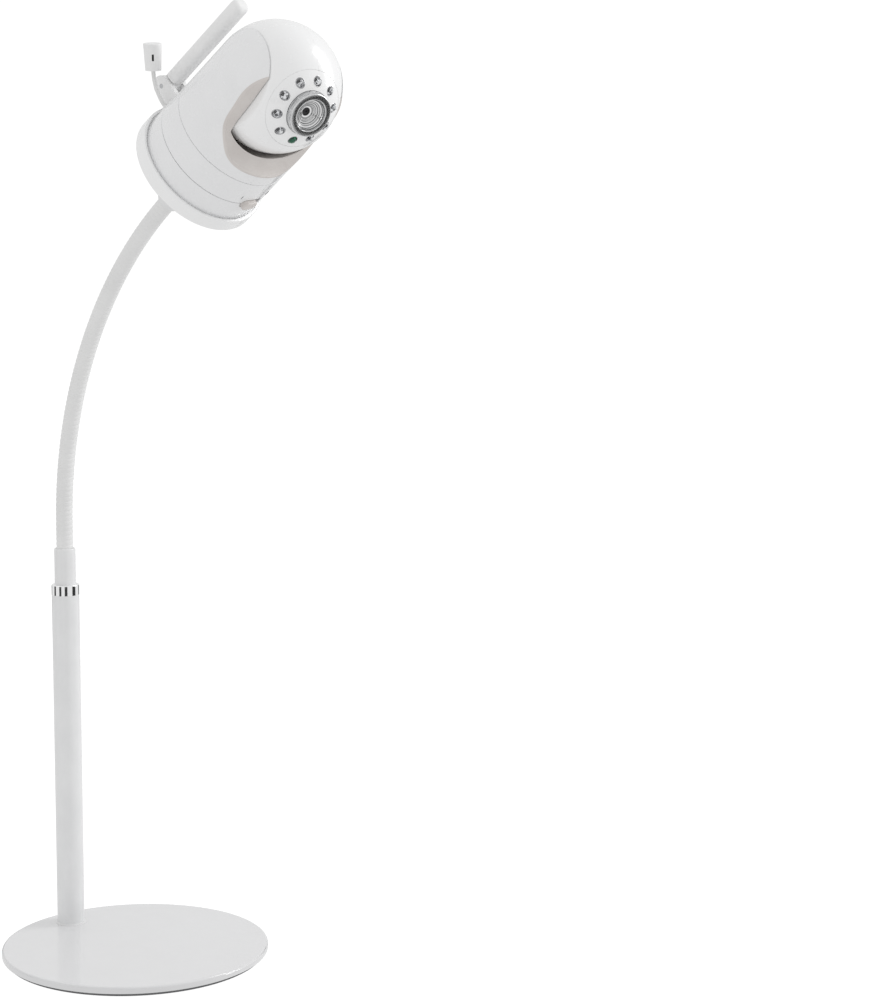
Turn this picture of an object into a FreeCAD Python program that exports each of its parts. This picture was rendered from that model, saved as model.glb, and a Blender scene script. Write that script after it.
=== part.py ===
"""Pan and tilt baby monitor camera on a gooseneck table stand, one STEP file per piece (mm).

World frame: the base plate stands on z = 0 around the origin, the pole rises at +Y and the
gooseneck bends towards -Y. The camera is drawn upright in its own frame (origin at the centre
of its underside, +Z along its axis, front towards -Y) and then set on the end of the gooseneck.
"""
import FreeCAD
import Part

import math
import os

V = FreeCAD.Vector
ORIGIN = V(0, 0, 0)
UP = V(0, 0, 1)
RIGHT = V(1, 0, 0)

# ---- driving dimensions: table stand -------------------------------------------------------
BASE_R = 86.0            # top cover of the round base
BASE_TOP = 7.2
WEIGHT_R = 83.6          # steel disc inside the cover
WEIGHT_Z = (0.8, 5.3)
SKIRT_Z = 2.9            # lower rim of the cover
PAD_R = 80.0
POLE_Y = 66.3
POLE_R = 8.95
POLE_WALL = 1.25
POLE_TOP = 230.4
PLUG_R = POLE_R - POLE_WALL - 0.1
COLLAR_TOP = 237.2
FERRULE_R = 6.9
FERRULE_TOP = 261.2

# ---- gooseneck -----------------------------------------------------------------------------
NECK_R = 5.5
NECK_STRAIGHT = 16.5     # upright stretch above the lower ferrule
NECK_BEND_R = 261.0
LEAN = 55.1              # camera axis from the vertical, degrees
JOINTS = 8
BALL_R = 3.6
CUP_R = 3.9
CUP_MOUTH = 1.5          # below the ball's centre
BALL_SEAT = 3.6          # end face of the piece below, under the ball's centre
BALL_STALK_R = 2.1
SOCKET_R = 5.6
SOCKET_DEPTH = 8.0

# ---- camera: places along its own axis -----------------------------------------------------
SPIN = 8.9               # front of the camera turned about its own axis
PAN = -20.8              # yoke turned on the base at rest
TILT = 28.4              # lens raised at rest
FERRULE_Z = (-30.0, -10.3)
UPPER_FERRULE_R = 7.75
NUT_Z = (-9.2, -5.9)
NUT_R = 9.0
BOSS_R = 8.25
STUD_R = 3.12
STUD_BORE = 3.2
RIM_R = 42.3
RIM_TOP = 9.9
RIM_WALL = 1.7
RIM_STEP = 1.3           # depth of the shadow line inside the lip
RIM_FIT = 0.1
BODY_R = 39.45
BODY_WALL = 2.0
MID_SEAM = 24.5
PAN_SEAM = 42.6
SEAM = 0.15              # half of the gap at a seam
DECK_Z = 39.8
SPIGOT_R = 15.6
DECK_BORE = 16.0

# ---- yoke and head -------------------------------------------------------------------------
YOKE_R = 38.95
TILT_Z = 86.9
HEAD_R = 38.85
HEAD_HALF = 26.3         # flat sides of the head
ARM_HALF = 26.8          # inner faces of the arms
BOWL_R = 39.7
SCOOP = (-1.6, -1.8)     # the bowl's second cut, moved (y, z) under the chin
BACK_TOP = 72.0          # upper edge of the yoke's back wall
TRIM_DEPTH = 1.0
SHELL_R = 36.7
ARM_WALL = 2.0
AXLE_R = 3.0
AXLE_BORE = 3.06

# ---- face and optics (along the optical axis, from the tilt axis) --------------------------
FACE_R = 24.0
LED_RING_R = 18.6
LED_COUNT = 10           # places around the lens, the lowest one is the green light
LED_R = 2.45
LED_HOLE_R = 2.75
LENS_RING = (13.3, 9.6, 35.6, 40.8)     # outer radius, opening, back, front
BARREL_R = 10.6

# ---- drives --------------------------------------------------------------------------------
PAN_GEAR = (48, 0.8)     # teeth, module
PAN_PINION = (12, 0.8)
TILT_GEAR = (30, 0.6)
TILT_PINION = (12, 0.6)
MESH_PLAY = 0.12

# ---- switch, antenna, temperature sensor ---------------------------------------------------
SLOT = (17.0, 7.2)
SLIDER = (11.6, 6.3)
SLIDER_X = -2.4          # at rest, at the I end
ANTENNA_Y = 51.5
ANTENNA_Z = 19.0
ANTENNA_TIP = 98.0
ANTENNA_SIZE = (11.5, 9.4)
LEAD_D = 2.5
LEAD_ROUTE = [           # camera frame, from inside the housing to the sensor
    (-9.1, 28.1, 17.0), (-12.0, 37.0, 17.0), (-14.1, 46.1, 19.3), (-15.2, 54.6, 23.7), (-15.3, 58.2, 26.9)]
CAPSULE_R = 5.5
CAPSULE_L = 16.0
CAPSULE_LID = 1.6
CAPSULE_WALL = 1.2
SLIT_W = 1.2
SLIT_Z = (6.0, 10.0)
SLIT_TURN = 49.0         # the vent faces forward and to the left


# ---- plain solids --------------------------------------------------------------------------
def cyl(r, z0, z1, x=0.0, y=0.0):
    return Part.makeCylinder(r, z1 - z0, V(x, y, z0))


def tube(ro, ri, z0, z1, x=0.0, y=0.0):
    return cyl(ro, z0, z1, x, y).cut(cyl(ri, z0 - 1, z1 + 1, x, y))


def rod(r, x0, x1, y, z):
    """Cylinder along X."""
    return Part.makeCylinder(r, x1 - x0, V(x0, y, z), RIGHT)


def bar(r, y0, y1, x, z):
    """Cylinder along Y."""
    return Part.makeCylinder(r, y1 - y0, V(x, y0, z), V(0, 1, 0))


def box(x0, x1, y0, y1, z0, z1):
    return Part.makeBox(x1 - x0, y1 - y0, z1 - z0, V(x0, y0, z0))


def ball(r, centre):
    return Part.makeSphere(r, centre)


def turned(points):
    """Solid of revolution about Z from a closed (radius, z) outline."""
    corners = [V(r, 0, z) for r, z in points]
    wire = Part.makePolygon(corners + corners[:1])
    return Part.Face(wire).revolve(ORIGIN, UP, 360)


def rounded(shape, radius, wanted):
    """Fillet the edges for which wanted(edge) is true."""
    edges = [edge for edge in shape.Edges if wanted(edge)]
    return shape.makeFillet(radius, edges)


def ring_edge(r, z):
    """Test for a circular edge about Z of that radius and height."""
    def wanted(edge):
        b = edge.BoundBox
        return abs(b.ZMin - z) < 0.01 and abs(b.ZMax - z) < 0.01 and abs(b.XMax - b.XMin - 2 * r) < 0.1
    return wanted


def joined(shapes):
    solid = shapes[0]
    for shape in shapes[1:]:
        solid = solid.fuse(shape)
    return solid.removeSplitter()


def without(shape, *tools):
    for tool in tools:
        shape = shape.cut(tool)
    return shape


def group(shapes):
    return Part.makeCompound(shapes)


def around(shape, count, start=0.0, axis=UP, centre=ORIGIN):
    """Copies of a shape in equal steps about an axis."""
    copies = []
    for i in range(count):
        copy = shape.copy()
        copy.rotate(centre, axis, start + 360.0 * i / count)
        copies.append(copy)
    return copies


def biggest(shape):
    return max(shape.Solids, key=lambda solid: solid.Volume)


def gear(teeth, module, z0, z1, bore):
    """Spur gear with straight-sided teeth and generous backlash, about Z."""
    root = module * (teeth / 2.0 - 1.05)
    tip = module * (teeth / 2.0 + 0.75)
    half_root = module * 0.82
    half_tip = module * 0.30
    tooth = Part.Face(Part.makePolygon([
        V(root - 0.4, -half_root, z0), V(tip, -half_tip, z0),
        V(tip, half_tip, z0), V(root - 0.4, half_root, z0),
        V(root - 0.4, -half_root, z0)])).extrude(V(0, 0, z1 - z0))
    solid = joined([cyl(root, z0, z1)] + around(tooth, teeth))
    return solid.cut(cyl(bore, z0 - 1, z1 + 1)) if bore else solid


# ---- frames --------------------------------------------------------------------------------
def lean_direction():
    a = math.radians(LEAN)
    return V(0, -math.sin(a), math.cos(a))


def neck_point(s):
    """Place and lean angle on the gooseneck's centre line, s from the lower ferrule's top."""
    if s <= NECK_STRAIGHT:
        return V(0, POLE_Y, FERRULE_TOP + s), 0.0
    angle = (s - NECK_STRAIGHT) / NECK_BEND_R
    y = POLE_Y - NECK_BEND_R * (1 - math.cos(angle))
    z = FERRULE_TOP + NECK_STRAIGHT + NECK_BEND_R * math.sin(angle)
    return V(0, y, z), math.degrees(angle)


NECK_LENGTH = NECK_STRAIGHT + NECK_BEND_R * math.radians(LEAN)
CAMERA_STANDOFF = 23.2   # underside of the camera beyond the end of the bend
CAMERA_AT = neck_point(NECK_LENGTH)[0] + lean_direction() * CAMERA_STANDOFF
FREE_NECK = NECK_LENGTH + CAMERA_STANDOFF + FERRULE_Z[0]
PITCH = FREE_NECK / JOINTS
TILT_AT = V(0, 0, TILT_Z)


def on_base(shape):
    """From the camera's frame to the world."""
    moved = shape.copy()
    moved.rotate(ORIGIN, UP, SPIN)
    moved.rotate(ORIGIN, RIGHT, LEAN)
    moved.translate(CAMERA_AT)
    return moved


def on_yoke(shape):
    """From the yoke's own frame (facing -Y) to the world."""
    moved = shape.copy()
    moved.rotate(ORIGIN, UP, PAN)
    return on_base(moved)


def on_head(shape):
    """From the head's own frame (lens level, facing -Y) to the world."""
    moved = shape.copy()
    moved.rotate(TILT_AT, RIGHT, -TILT)
    return on_yoke(moved)


def facing(shape):
    """A shape drawn about +Z, its z measured from the tilt axis, turned to look along -Y."""
    turned_shape = shape.copy()
    turned_shape.rotate(ORIGIN, RIGHT, 90)
    turned_shape.translate(TILT_AT)
    return turned_shape


# ---- table stand ---------------------------------------------------------------------------
def base_cover():
    lid = turned([(0, WEIGHT_Z[1]), (WEIGHT_R + 0.1, WEIGHT_Z[1]), (WEIGHT_R + 0.1, SKIRT_Z),
                  (BASE_R, SKIRT_Z), (BASE_R, BASE_TOP), (0, BASE_TOP)])
    lid = rounded(lid, 1.3, ring_edge(BASE_R, BASE_TOP))
    lid = rounded(lid, 0.5, ring_edge(BASE_R, SKIRT_Z))
    return lid.cut(cyl(4.4, 0, 20, 0, POLE_Y))


def base_weight():
    disc = cyl(WEIGHT_R, *WEIGHT_Z)
    disc = rounded(disc, 0.5, ring_edge(WEIGHT_R, WEIGHT_Z[0]))
    return without(disc, cyl(7.4, 0, 3.7, 0, POLE_Y), cyl(4.4, 0, 20, 0, POLE_Y))


def foot_pad():
    return cyl(PAD_R, 0, WEIGHT_Z[0])


def pole_gasket():
    return tube(POLE_R + 0.75, 4.4, BASE_TOP, BASE_TOP + 0.8, 0, POLE_Y)


def pole():
    return tube(POLE_R, POLE_R - POLE_WALL, BASE_TOP + 0.8, POLE_TOP, 0, POLE_Y)


def pole_insert():
    return tube(PLUG_R, 4.05, BASE_TOP + 0.8, 30, 0, POLE_Y)


def pole_bolt():
    bolt = joined([cyl(6.8, 1.1, 3.7, 0, POLE_Y), cyl(4.0, 3.7, 26, 0, POLE_Y)])
    socket = Part.Face(Part.makePolygon(
        [V(3 * math.cos(math.radians(60 * i)), POLE_Y + 3 * math.sin(math.radians(60 * i)), 1)
         for i in range(7)])).extrude(V(0, 0, 1.8))
    return bolt.cut(socket)


def chrome_collar():
    collar = cyl(POLE_R + 0.05, POLE_TOP, COLLAR_TOP, 0, POLE_Y)
    collar = collar.makeFillet(0.6, [e for e in collar.Edges if e.BoundBox.ZMin > COLLAR_TOP - 0.1])
    collar = collar.fuse(cyl(PLUG_R, POLE_TOP - 18, POLE_TOP, 0, POLE_Y))
    return collar.cut(cyl(5.05, 0, COLLAR_TOP + 1, 0, POLE_Y))


def lower_ferrule():
    sleeve = cyl(FERRULE_R, COLLAR_TOP, FERRULE_TOP, 0, POLE_Y)
    sleeve = sleeve.makeFillet(0.7, [e for e in sleeve.Edges if e.BoundBox.ZMin > FERRULE_TOP - 0.1])
    sleeve = sleeve.fuse(cyl(5.0, POLE_TOP - 18, COLLAR_TOP, 0, POLE_Y))
    return sleeve.cut(cyl(SOCKET_R, FERRULE_TOP - SOCKET_DEPTH, FERRULE_TOP + 1, 0, POLE_Y))


# ---- gooseneck -----------------------------------------------------------------------------
def neck_joint(k):
    """Centre of joint k, counted from 1 at the pole."""
    return neck_point((k - 0.5) * PITCH)[0]


def neck_piece(k):
    """Piece k runs from joint k to joint k + 1, a cup below and a ball above."""
    if k == 0:
        start = V(0, POLE_Y, FERRULE_TOP - SOCKET_DEPTH)
    else:
        start = neck_joint(k)
    if k == JOINTS:
        end = CAMERA_AT + lean_direction() * FERRULE_Z[0]
    else:
        end = neck_joint(k + 1)
    along = (end - start).normalize()
    first = start if k == 0 else start - along * CUP_MOUTH
    last = end if k == JOINTS else end - along * BALL_SEAT
    piece = Part.makeCylinder(NECK_R, (last - first).Length, first, along)
    if k < JOINTS:
        stalk = Part.makeCylinder(BALL_STALK_R, BALL_SEAT, last - along * 0.5, along)
        piece = joined([piece, stalk, ball(BALL_R, end)])
    else:
        tail_start = end - lean_direction()
        tail = Part.makeCylinder(NECK_R, SOCKET_DEPTH + 0.8, tail_start, lean_direction())
        piece = joined([piece, tail])
    if k > 0:
        piece = piece.cut(ball(CUP_R, start))
    return piece


# ---- upper ferrule and tripod screw (camera frame) ------------------------------------------
def upper_ferrule():
    z0, z1 = FERRULE_Z
    sleeve = cyl(UPPER_FERRULE_R, z0, z1)
    sleeve = rounded(sleeve, 1.3, ring_edge(UPPER_FERRULE_R, z1))
    sleeve = rounded(sleeve, 0.6, ring_edge(UPPER_FERRULE_R, z0))
    return without(sleeve, cyl(SOCKET_R, z0 - 1, z0 + SOCKET_DEPTH), cyl(4.25, z1 - 2.0, z1 + 1),
                   cyl(STUD_R, z1 - 10, z1))


def tripod_stud():
    return rounded(cyl(STUD_R, FERRULE_Z[1] - 10, 8.0), 0.5, ring_edge(STUD_R, 8.0))


def lock_nut():
    nut = rounded(cyl(NUT_R, *NUT_Z), 0.4, lambda edge: True)
    groove = cyl(0.35, NUT_Z[0] - 1, NUT_Z[1] + 1, NUT_R + 0.12, 0)
    nut = nut.cut(group(around(groove, 40)))
    return nut.cut(cyl(STUD_BORE, -20, 0))


def tripod_boss():
    boss = joined([cyl(BOSS_R, NUT_Z[1] + 0.35, 0), cyl(6.4, 0, 10.5)])
    boss = rounded(boss, 0.6, ring_edge(BOSS_R, NUT_Z[1] + 0.35))
    return boss.cut(cyl(STUD_R, -10, 12))


# ---- camera base (camera frame) --------------------------------------------------------------
SCREW_SPOTS = [(45, 33.0), (135, 33.0), (225, 33.0), (315, 33.0)]
VENT_Z = [3.9, 7.0, 11.4]
FLOOR = 3.0


def at_spots(shape):
    shapes = []
    for angle, radius in SCREW_SPOTS:
        copy = shape.copy()
        copy.translate(V(radius, 0, 0))
        copy.rotate(ORIGIN, UP, angle)
        shapes.append(copy)
    return group(shapes)


def vents():
    """Three slots through the wall on the side of the camera."""
    slots = []
    for z in VENT_Z:
        slot = box(-5.5, 5.5, -48, -33, z - 0.65, z + 0.65)
        slot.rotate(ORIGIN, UP, 107)
        slots.append(slot)
    return group(slots)


def switch_slot():
    width, height = SLOT
    r = height / 2.0
    reach = width / 2.0 - r
    return joined([bar(r, -48, -30, -reach, MID_SEAM), bar(r, -48, -30, reach, MID_SEAM),
                   box(-reach, reach, -48, -30, MID_SEAM - r, MID_SEAM + r)])


JACK_ANGLE = 28.0        # power inlet, from the back towards +X


def jack_bore():
    hole = bar(3.1, 30, 48, 0, 16.5)
    hole.rotate(ORIGIN, UP, -JACK_ANGLE)
    return hole


GLAND_ANGLE = 18.0       # sensor lead, from the back towards -X


def gland_bore():
    hole = bar(2.45, 30, 48, 0, LEAD_ROUTE[0][2])
    hole.rotate(ORIGIN, UP, GLAND_ANGLE)
    return hole


def rim_cup():
    lip = RIM_R - RIM_WALL
    step = RIM_TOP - RIM_STEP
    inner = BODY_R + RIM_FIT
    cup = turned([(0, 0), (RIM_R, 0), (RIM_R, RIM_TOP), (lip, RIM_TOP), (lip, step), (inner, step),
                  (inner, FLOOR), (0, FLOOR)])
    cup = rounded(cup, 1.4, ring_edge(RIM_R, 0))
    cup = rounded(cup, 0.7, ring_edge(RIM_R, RIM_TOP))
    return without(cup, cyl(6.5, -1, 5), vents(), at_spots(cyl(1.5, -1, 5)), at_spots(cyl(2.9, -1, 1.7)))


def lower_housing():
    inner = BODY_R - BODY_WALL
    top = MID_SEAM - SEAM
    shell = turned([(inner, FLOOR + 0.05), (BODY_R, FLOOR + 0.05), (BODY_R, top - 0.3),
                    (BODY_R - 0.3, top), (inner, top)])
    post = joined([cyl(3.1, FLOOR + 0.05, 10.9), box(0, 4.9, -0.9, 0.9, FLOOR + 0.05, 10.9)])
    shell = shell.fuse(at_spots(post).Solids)
    return biggest(without(shell.removeSplitter(), vents(), switch_slot(), jack_bore(), gland_bore(),
                           at_spots(cyl(1.25, 0, 11)), antenna_notch()))


def upper_housing():
    low = MID_SEAM + SEAM
    high = PAN_SEAM - SEAM
    inner = BODY_R - BODY_WALL
    shell = turned([(inner, low), (BODY_R - 0.3, low), (BODY_R, low + 0.3), (BODY_R - 0.3, high - 0.3),
                    (BODY_R - 0.6, high), (DECK_BORE, high), (DECK_BORE, DECK_Z), (inner, DECK_Z)])
    mark = box(-0.35, 0.35, -48, -BODY_R + 0.55, 36.6, 39.2)
    return without(shell, switch_slot(), mark, antenna_notch())


def antenna_notch():
    """Seat of the antenna's hinge foot in the back wall."""
    return box(-7.1, 7.1, 34, 48, ANTENNA_Z - 6.6, ANTENNA_Z + 6.6)


def housing_screws():
    screw = joined([cyl(2.5, 0.3, 1.7), cyl(1.2, 1.7, 9.5)])
    return at_spots(screw)


def main_board():
    board = cyl(35.2, 11.0, 12.6)
    motor_gap = cyl(11.0, 10, 14, *motor_spot())
    return biggest(without(board, cyl(7.5, 10, 14), box(26, 40, -40, 40, 10, 14), motor_gap,
                           box(-40, 40, 24.5, 40, 10, 14)))


def motor_spot():
    reach = (PAN_GEAR[0] + PAN_PINION[0]) * PAN_GEAR[1] / 2.0 + MESH_PLAY
    angle = math.radians(215)
    return reach * math.cos(angle), reach * math.sin(angle)


def pan_motor():
    x, y = motor_spot()
    ear = box(x - 14, x + 14, y - 2.5, y + 2.5, 29.0, 30.0)
    return joined([cyl(9.5, 14, 30, x, y), ear])


def pan_pinion():
    x, y = motor_spot()
    pinion = gear(PAN_PINION[0], PAN_PINION[1], 34.3, 38.0, 0)
    pinion = joined([pinion, cyl(1.2, 30.3, 38.0)])
    pinion.rotate(ORIGIN, UP, 215 + 180.0 / PAN_PINION[0])
    pinion.translate(V(x, y, 0))
    return pinion


def pan_gear():
    """Gear under the deck, with the spigot that passes up through it into the yoke."""
    wheel = gear(PAN_GEAR[0], PAN_GEAR[1], 34.5, 37.8, 0)
    wheel.rotate(ORIGIN, UP, 215 - PAN)
    solid = joined([wheel, cyl(17.6, 37.8, DECK_Z - 0.35), cyl(SPIGOT_R, 37, PAN_SEAM + SEAM)])
    heads = at_yoke_screws(lambda x, y: cyl(2.1, 33, 36.0, x, y))
    return without(solid, cyl(9.5, 30, 50), yoke_screw_holes(), heads)


def speaker():
    can = rod(9.0, 27.0, 31.5, 3.0, 21.0)
    return can.fuse(rod(6.5, 31.5, 34.5, 3.0, 21.0))


def power_jack():
    jack = box(-4.5, 4.5, 25.0, 36.3, 12.75, 20.25)
    jack = jack.fuse(bar(3.0, 36.3, 39.2, 0, 16.5))
    jack = jack.cut(bar(2.75, 28.5, 40, 0, 16.5))
    jack = jack.fuse(bar(1.0, 28.0, 38.4, 0, 16.5))
    jack.rotate(ORIGIN, UP, -JACK_ANGLE)
    return jack


def slider():
    width, height = SLIDER
    knob = box(SLIDER_X - width / 2, SLIDER_X + width / 2, -41.9, -33.6,
               MID_SEAM - height / 2, MID_SEAM + height / 2)
    knob = rounded(knob, 3.0, lambda e: abs(e.BoundBox.YMax - e.BoundBox.YMin - 8.3) < 0.01)
    knob = rounded(knob, 0.8, lambda e: e.BoundBox.YMax < -41.8)
    plate = box(SLIDER_X - 8.4, SLIDER_X + 8.4, -34.0, -33.0, MID_SEAM - 5, MID_SEAM + 5)
    return joined([knob, plate])


def switch_block():
    block = box(-9, 9, -32.6, -25.5, MID_SEAM - 5, MID_SEAM + 5)
    pins = [box(x - 0.4, x + 0.4, -30, -29, 12.6, MID_SEAM - 5) for x in (-6, 0, 6)]
    return joined([block] + pins)


# ---- antenna and temperature sensor (camera frame) -------------------------------------------
def antenna_foot():
    y, z = ANTENNA_Y, ANTENNA_Z
    root = box(-7.0, 7.0, 35.0, y, z - 6.4, z + 6.4)
    foot = joined([root, rod(6.4, -7.0, 7.0, y, z)])
    return without(foot, box(-4.0, 4.0, 39.6, 60, z - 8, z + 8), rod(1.5, -8, 8, y, z))


def antenna_pin():
    return rod(1.5, -6.9, 6.9, ANTENNA_Y, ANTENNA_Z)


def antenna():
    y, z = ANTENNA_Y, ANTENNA_Z
    width, depth = ANTENNA_SIZE
    blade = box(-width / 2, width / 2, y - depth / 2, y + depth / 2, z + 7.2, ANTENNA_TIP)
    blade = rounded(blade, 4.2, lambda e: e.BoundBox.ZMax - e.BoundBox.ZMin > 50)
    blade = rounded(blade, 3.4, lambda e: e.BoundBox.ZMin > ANTENNA_TIP - 0.01)
    stem = box(-3.7, 3.7, y - 4.0, y + 4.0, z, z + 8)
    knuckle = joined([rod(5.9, -3.7, 3.7, y, z), stem, blade])
    return knuckle.cut(rod(1.58, -8, 8, y, z))


def sensor_gland():
    """Strain relief in the wall, closed round the lead; in the world."""
    z = LEAD_ROUTE[0][2]
    flange = bar(3.2, 36.0, 37.2, 0, z)
    nose = Part.makeCone(2.4, 1.9, 3.2, V(0, 37.2, z), V(0, 1, 0))
    gland = joined([flange, nose])
    gland.rotate(ORIGIN, UP, GLAND_ANGLE)
    return on_base(gland).cut(sensor_lead())


def camera_vector(point):
    """A point of the camera's frame, in the world."""
    return on_base(Part.Vertex(V(*point))).Point


def lead_path(points):
    """Straight runs joined by tangent arcs."""
    edges = []
    at = points[0]
    for i in range(1, len(points) - 1):
        back = points[i - 1] - points[i]
        ahead = points[i + 1] - points[i]
        run = min(back.Length, ahead.Length)
        half_turn = (math.pi - back.getAngle(ahead)) / 2
        cut = 0.45 * run
        print("lead bend %d: radius %.1f mm" % (i, cut / math.tan(half_turn)))
        back.normalize()
        ahead.normalize()
        start = points[i] + back * cut
        end = points[i] + ahead * cut
        inward = (back + ahead).normalize()
        radius = cut / math.tan(half_turn)
        middle = points[i] + inward * (radius / math.cos(half_turn) - radius)
        edges.append(Part.LineSegment(at, start).toShape())
        edges.append(Part.Arc(start, middle, end).toShape())
        at = end
    edges.append(Part.LineSegment(at, points[-1]).toShape())
    return Part.Wire(edges)


def sensor_lead():
    path = lead_path([camera_vector(point) for point in LEAD_ROUTE])
    start = path.Vertexes[0].Point
    along = (path.Vertexes[1].Point - start).normalize()
    section = Part.Wire(Part.makeCircle(LEAD_D / 2, start, along))
    solid = path.makePipeShell([section], True, False)
    print("sensor lead: length %.1f mm, volume ratio %.4f"
          % (path.Length, solid.Volume / (path.Length * math.pi * LEAD_D ** 2 / 4)))
    return solid


def sensor_frame():
    """Where the lead enters the sensor, and the sensor's axis, in the world."""
    end = camera_vector(LEAD_ROUTE[-1])
    return end, (end - camera_vector(LEAD_ROUTE[-2])).normalize()


def set_on_lead(shape):
    """A shape drawn about +Z from z = 0, moved to the end of the lead."""
    at, along = sensor_frame()
    moved = shape.copy()
    moved.Placement = FreeCAD.Placement(at, FreeCAD.Rotation(UP, along)).multiply(moved.Placement)
    return moved


def sensor_capsule():
    lid_z = CAPSULE_L - CAPSULE_LID
    bore_r = CAPSULE_R - CAPSULE_WALL
    lid_r = CAPSULE_R + 0.1
    shell = turned([(0, 0), (CAPSULE_R - 0.7, 0), (CAPSULE_R, lid_z), (0, lid_z)])
    bore = turned([(0, CAPSULE_WALL), (bore_r - 0.7, CAPSULE_WALL), (bore_r, CAPSULE_L), (0, CAPSULE_L)])
    lid = rounded(cyl(lid_r, lid_z, CAPSULE_L), 0.5, ring_edge(lid_r, CAPSULE_L))
    slit = box(-9, 9, -SLIT_W / 2, SLIT_W / 2, *SLIT_Z)
    slit.rotate(ORIGIN, UP, SLIT_TURN)
    return set_on_lead(joined([without(shell, bore), lid]).cut(slit))


def thermistor():
    return set_on_lead(cyl(1.4, 1.2, 9.5))


# ---- yoke (yoke frame) -----------------------------------------------------------------------
def dome(r, z0):
    """Upright cylinder with a half ball on top, centred on the tilt axis."""
    return joined([cyl(r, z0, TILT_Z), ball(r, TILT_AT)]).common(box(-50, 50, -50, 50, z0, 140))


ARM_EDGE_INNER = [(-17.6, 118), (-18.1, 108.7), (-21.6, 84.2), (-24.2, 68.0)]
ARM_EDGE_OUTER = [(-13.2, 118), (-14.0, 103.5), (-17.4, 84.0), (-21.4, 68.0)]
SILL = [(-28.6, 60.2), (-35.6, 52.4), (-41.0, 50.9), (-70.0, 50.9)]


def front_outline(x, arm_edge):
    """Closed outline, in the plane of that x, of the space in front of the arms."""
    curve = Part.BSplineCurve()
    curve.interpolate([V(x, y, z) for y, z in arm_edge + SILL[:3]])
    last = SILL[3]
    top = arm_edge[0]
    rest = [V(x, *SILL[2]), V(x, *last), V(x, last[0], top[1]), V(x, *top)]
    lines = [Part.LineSegment(rest[i], rest[i + 1]).toShape() for i in range(3)]
    return Part.Wire([curve.toShape()] + lines)


def front_space():
    wide = 46.0
    middle = Part.Face(front_outline(-ARM_HALF, ARM_EDGE_INNER)).extrude(V(2 * ARM_HALF, 0, 0))
    sides = [Part.makeLoft([front_outline(s * ARM_HALF, ARM_EDGE_INNER),
                            front_outline(s * wide, ARM_EDGE_OUTER)], True, True) for s in (-1, 1)]
    return joined([middle] + sides)


def bowl(r):
    """The head's ball and a second one under its chin, where the lamps pass."""
    return ball(r, TILT_AT).fuse(ball(r, TILT_AT + V(0, *SCOOP)))


def head_space():
    """The slot that the head turns in."""
    slab = box(-ARM_HALF, ARM_HALF, -60, 60, 30, 140)
    above = box(-ARM_HALF, ARM_HALF, -60, 60, BACK_TOP, 140)
    return joined([bowl(BOWL_R).common(slab), above])


def yoke_blank():
    return without(dome(YOKE_R, PAN_SEAM + SEAM), head_space(), front_space())


def trim_zone():
    """Skin of the yoke's front edge and of the bowl under the chin."""
    skin = front_space()
    skin.translate(V(0, TRIM_DEPTH, -TRIM_DEPTH))
    front_half = box(-28.4, 28.4, -60, -10, 30, 74)
    liner = bowl(BOWL_R + 1.4).common(front_half)
    return without(joined([skin, liner]), at_yoke_screws(lambda x, y: cyl(1.9, 40, 46.8, x, y)))


def trim_collar(blank):
    return biggest(blank.common(trim_zone()))


def arm_cavities():
    inside = dome(SHELL_R, 48.0)
    flank = ARM_HALF + ARM_WALL
    outer = box(-60, -flank, -14, 60, 40, 140).fuse(box(flank, 60, -14, 60, 40, 140))
    return inside.common(outer)


def yoke_shell(blank, side):
    """Left (-1) or right (+1) half of the yoke."""
    half = box(0.03, 60, -60, 60, 30, 140) if side > 0 else box(-60, -0.03, -60, 60, 30, 140)
    shell = without(blank.common(half), trim_zone(), arm_cavities(), rod(AXLE_BORE, -35.8, 35.8, 0, TILT_Z),
                    yoke_screw_holes())
    return biggest(shell)


YOKE_SCREWS = [(-9.4, 9.4), (9.4, 9.4), (-9.4, -9.4), (9.4, -9.4)]


def at_yoke_screws(make):
    return group([make(x, y) for x, y in YOKE_SCREWS])


def yoke_screw_holes():
    return at_yoke_screws(lambda x, y: cyl(1.2, 33, 47, x, y))


def yoke_screws():
    return at_yoke_screws(lambda x, y: joined([cyl(1.9, 34.7, 36.0, x, y), cyl(1.1, 36.0, 46.4, x, y)]))


# ---- head (head frame, lens level) -----------------------------------------------------------
def head_blank():
    body = ball(HEAD_R, TILT_AT).common(box(-HEAD_HALF, HEAD_HALF, -60, 60, 30, 140))
    return body.makeFillet(4.0, [e for e in body.Edges if e.BoundBox.XMax - e.BoundBox.XMin < 0.01])


def face_recess(r):
    return facing(cyl(r, 26.0, 50))


def head_shell(side):
    inside = ball(HEAD_R - 2.2, TILT_AT).common(box(-HEAD_HALF + 2.2, HEAD_HALF - 2.2, -60, 60, 30, 140))
    half = box(0.03, 60, -60, 60, 30, 140) if side > 0 else box(-60, -0.03, -60, 60, 30, 140)
    shell = without(head_blank(), inside, face_recess(FACE_R + 0.1))
    return biggest(without(shell.common(half), rod(AXLE_R, -40, 40, 0, TILT_Z)))


def led_places():
    """Angles round the optical axis; the first is the lowest."""
    return [360.0 * i / LED_COUNT for i in range(LED_COUNT)]


def at_led(shape, angle):
    """A shape drawn about the optical axis, set on the ring of lights."""
    copy = shape.copy()
    copy.translate(V(0, -LED_RING_R, 0))
    copy.rotate(ORIGIN, UP, angle)
    return facing(copy)


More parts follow.
